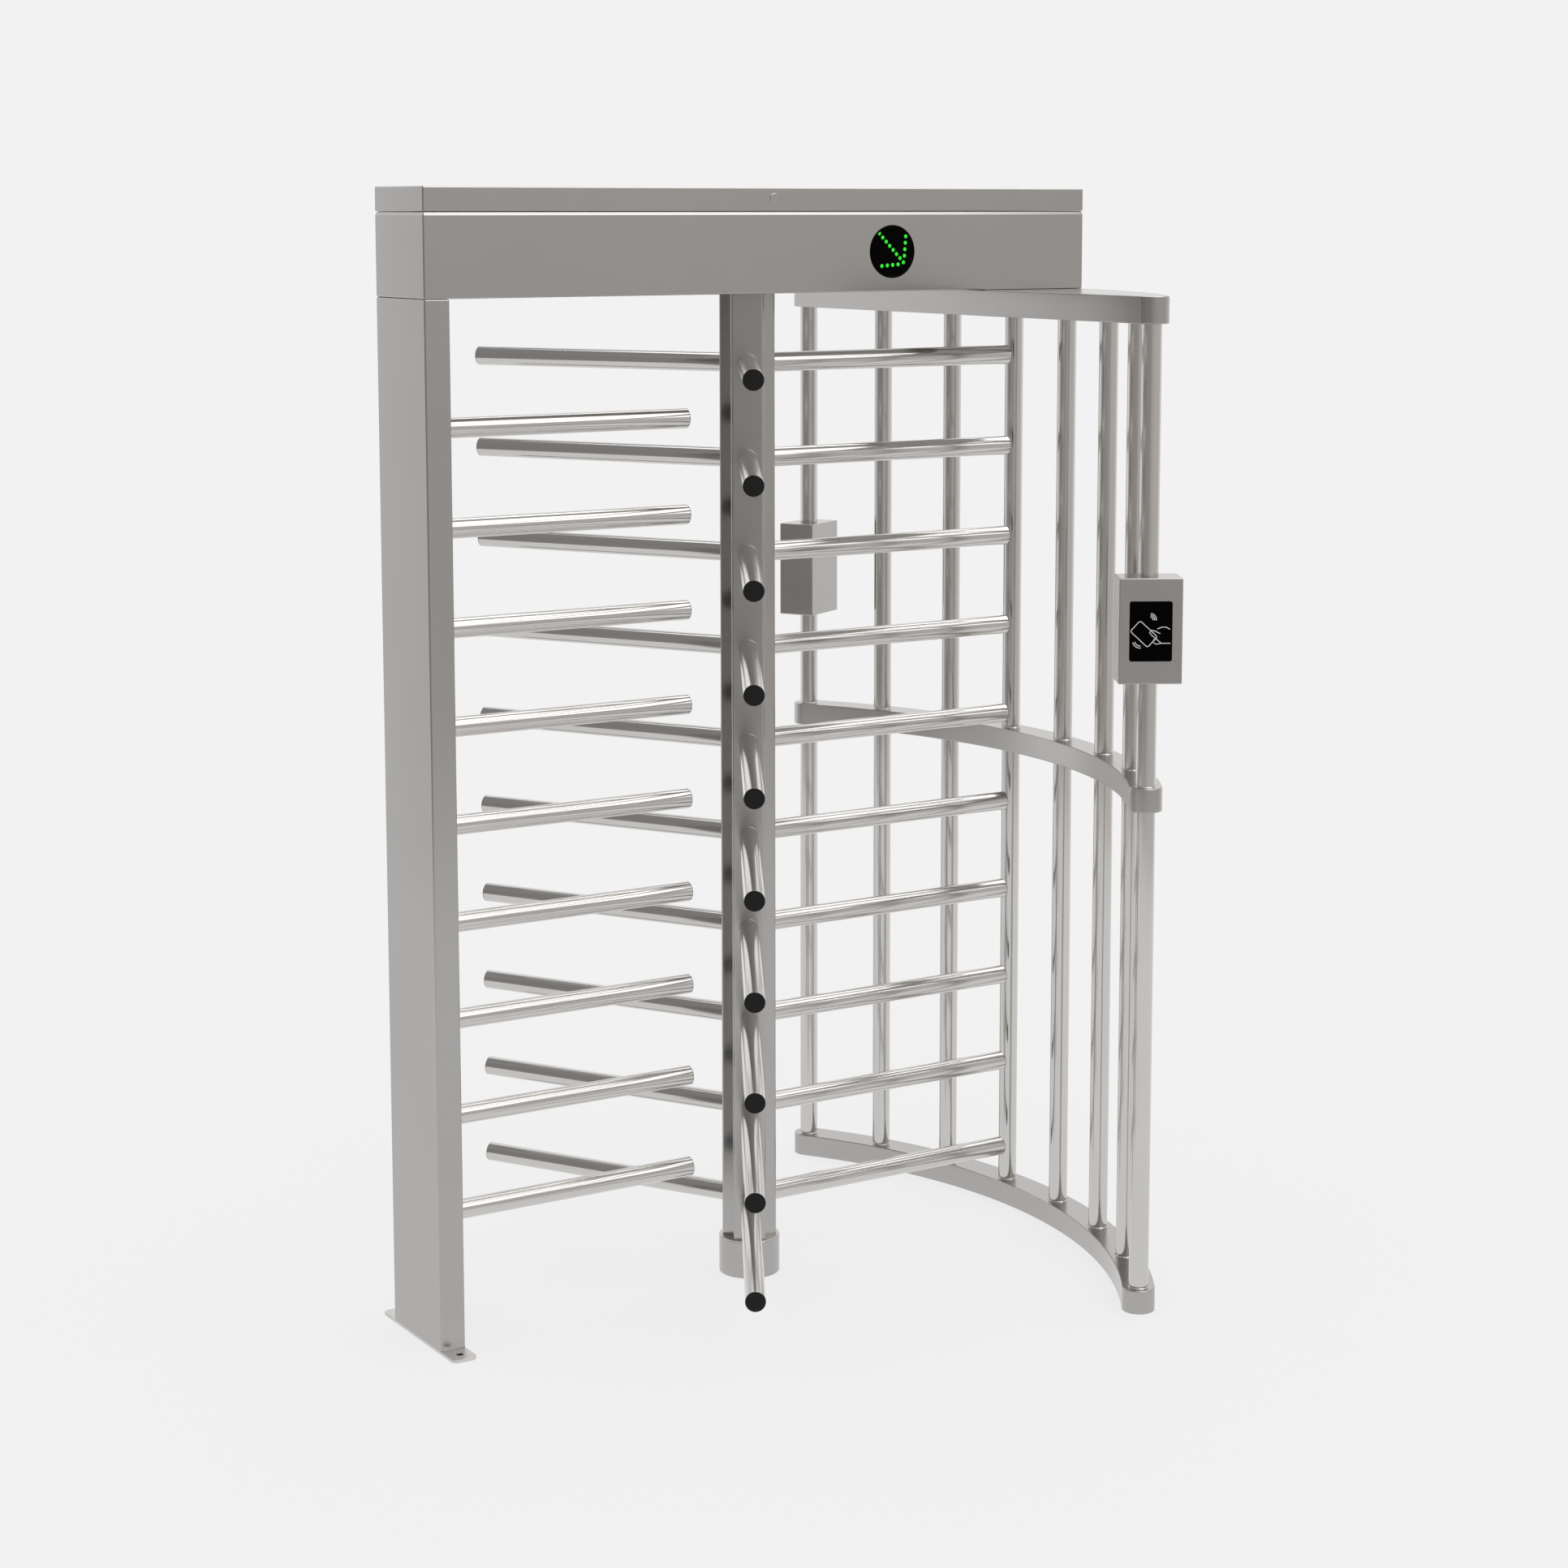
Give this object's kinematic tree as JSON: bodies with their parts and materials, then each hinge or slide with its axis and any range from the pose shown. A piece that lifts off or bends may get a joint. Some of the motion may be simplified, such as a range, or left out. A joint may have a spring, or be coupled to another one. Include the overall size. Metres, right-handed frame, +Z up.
{
  "type": "full height turnstile",
  "caption": "Full height walk-through turnstile: tubular rotor on a foot bearing, fixed comb of bars on a side post, curved barred cage, overhead beam with lid and displays, card readers.",
  "frame": {"origin": "rotor axis on the floor, at the underside of the foot cup", "axes": "+Z up along the rotor axis, +X from the rotor towards the curved cage, people walk along Y"},
  "size_m": [1.47, 1.328, 2.155],
  "materials": {
    "satin_steel": "satin brushed stainless steel sheet",
    "polished_steel": "bright polished stainless steel tube",
    "bearing_steel": "machined steel",
    "cast_aluminium": "cast, lightly blasted",
    "black_glass": "gloss black window",
    "black_plastic": "matt black plastic",
    "circuit_board": "green solder mask",
    "signal_green": "lit green signal lamp",
    "print_white": "pale printed line"
  },
  "bodies": {
    "frame": {"side_post": "satin_steel", "base_plate": "satin_steel", "barrier_bar_1": "polished_steel", "barrier_bar_2": "polished_steel", "barrier_bar_3": "polished_steel", "barrier_bar_4": "polished_steel", "barrier_bar_5": "polished_steel", "barrier_bar_6": "polished_steel", "barrier_bar_7": "polished_steel", "barrier_bar_8": "polished_steel", "barrier_bar_9": "polished_steel", "beam_housing": "satin_steel", "hinge_leaf_beam": "bearing_steel", "hinge_pin": "bearing_steel", "display_front": "black_glass", "display_rear": "black_glass", "cage_cap": "satin_steel", "middle_band": "satin_steel", "bottom_band": "satin_steel", "cage_bar_1": "polished_steel", "cage_bar_2": "polished_steel", "cage_bar_3": "polished_steel", "cage_bar_4": "polished_steel", "cage_bar_5": "polished_steel", "cage_bar_6": "polished_steel", "cage_bar_7": "polished_steel", "cage_bar_8": "polished_steel", "reader_box_front": "satin_steel", "reader_box_rear": "satin_steel", "reader_window_front": "black_glass", "reader_window_rear": "black_glass", "foot_cup": "satin_steel", "foot_bearing": "bearing_steel", "top_bearing": "cast_aluminium", "rotary_damper": "cast_aluminium", "pawl_pin": "bearing_steel", "solenoid_body": "cast_aluminium", "control_board": "circuit_board", "power_supply": "black_plastic"},
    "rotor": {"rotor_post": "satin_steel", "rotor_foot_plug": "cast_aluminium", "rotor_shaft": "bearing_steel", "rotor_gear": "bearing_steel", "index_disc": "bearing_steel", "rotor_arm_tier_1": "polished_steel", "rotor_arm_tier_2": "polished_steel", "rotor_arm_tier_3": "polished_steel", "rotor_arm_tier_4": "polished_steel", "rotor_arm_tier_5": "polished_steel", "rotor_arm_tier_6": "polished_steel", "rotor_arm_tier_7": "polished_steel", "rotor_arm_tier_8": "polished_steel", "rotor_arm_tier_9": "polished_steel", "rotor_arm_tier_10": "polished_steel"},
    "damper": {"damper_pinion": "bearing_steel"},
    "lid": {"beam_lid": "satin_steel", "hinge_leaf_lid": "bearing_steel"},
    "lock": {"lid_lock": "bearing_steel"},
    "pawl": {"lock_pawl": "bearing_steel"},
    "plunger": {"solenoid_plunger": "bearing_steel"}
  },
  "joints": [
    {"name": "rotor_spin", "type": "hinge", "parent": "frame", "child": "rotor", "pos_m": [0, 0, 0], "axis": [0, 0, 1], "continuous": true},
    {"name": "damper_spin", "type": "hinge", "parent": "frame", "child": "damper", "pos_m": [-0.0975, 0, 0], "axis": [0, 0, 1], "continuous": true},
    {"name": "lid_open", "type": "hinge", "parent": "frame", "child": "lid", "pos_m": [0, 0.1073, 2.11], "axis": [-1, 0, 0], "range_deg": [0, 90]},
    {"name": "lock_turn", "type": "hinge", "parent": "lid", "child": "lock", "pos_m": [0, -0.103, 2.134], "axis": [0, 1, 0], "range_deg": [0, 90]},
    {"name": "pawl_swing", "type": "hinge", "parent": "frame", "child": "pawl", "pos_m": [0.084, 0.062, 2.021], "axis": [0, 0, -1], "range_deg": [0, 8]},
    {"name": "plunger_slide", "type": "slide", "parent": "frame", "child": "plunger", "axis": [-1, 0, 0], "range_m": [0, 0.01]}
  ],
  "couplings": [
    {"joint": "damper_spin", "follows": "rotor_spin", "ratio": -3.3333},
    {"joint": "plunger_slide", "follows": "pawl_swing", "m_per_rad": 0.0702}
  ]
}
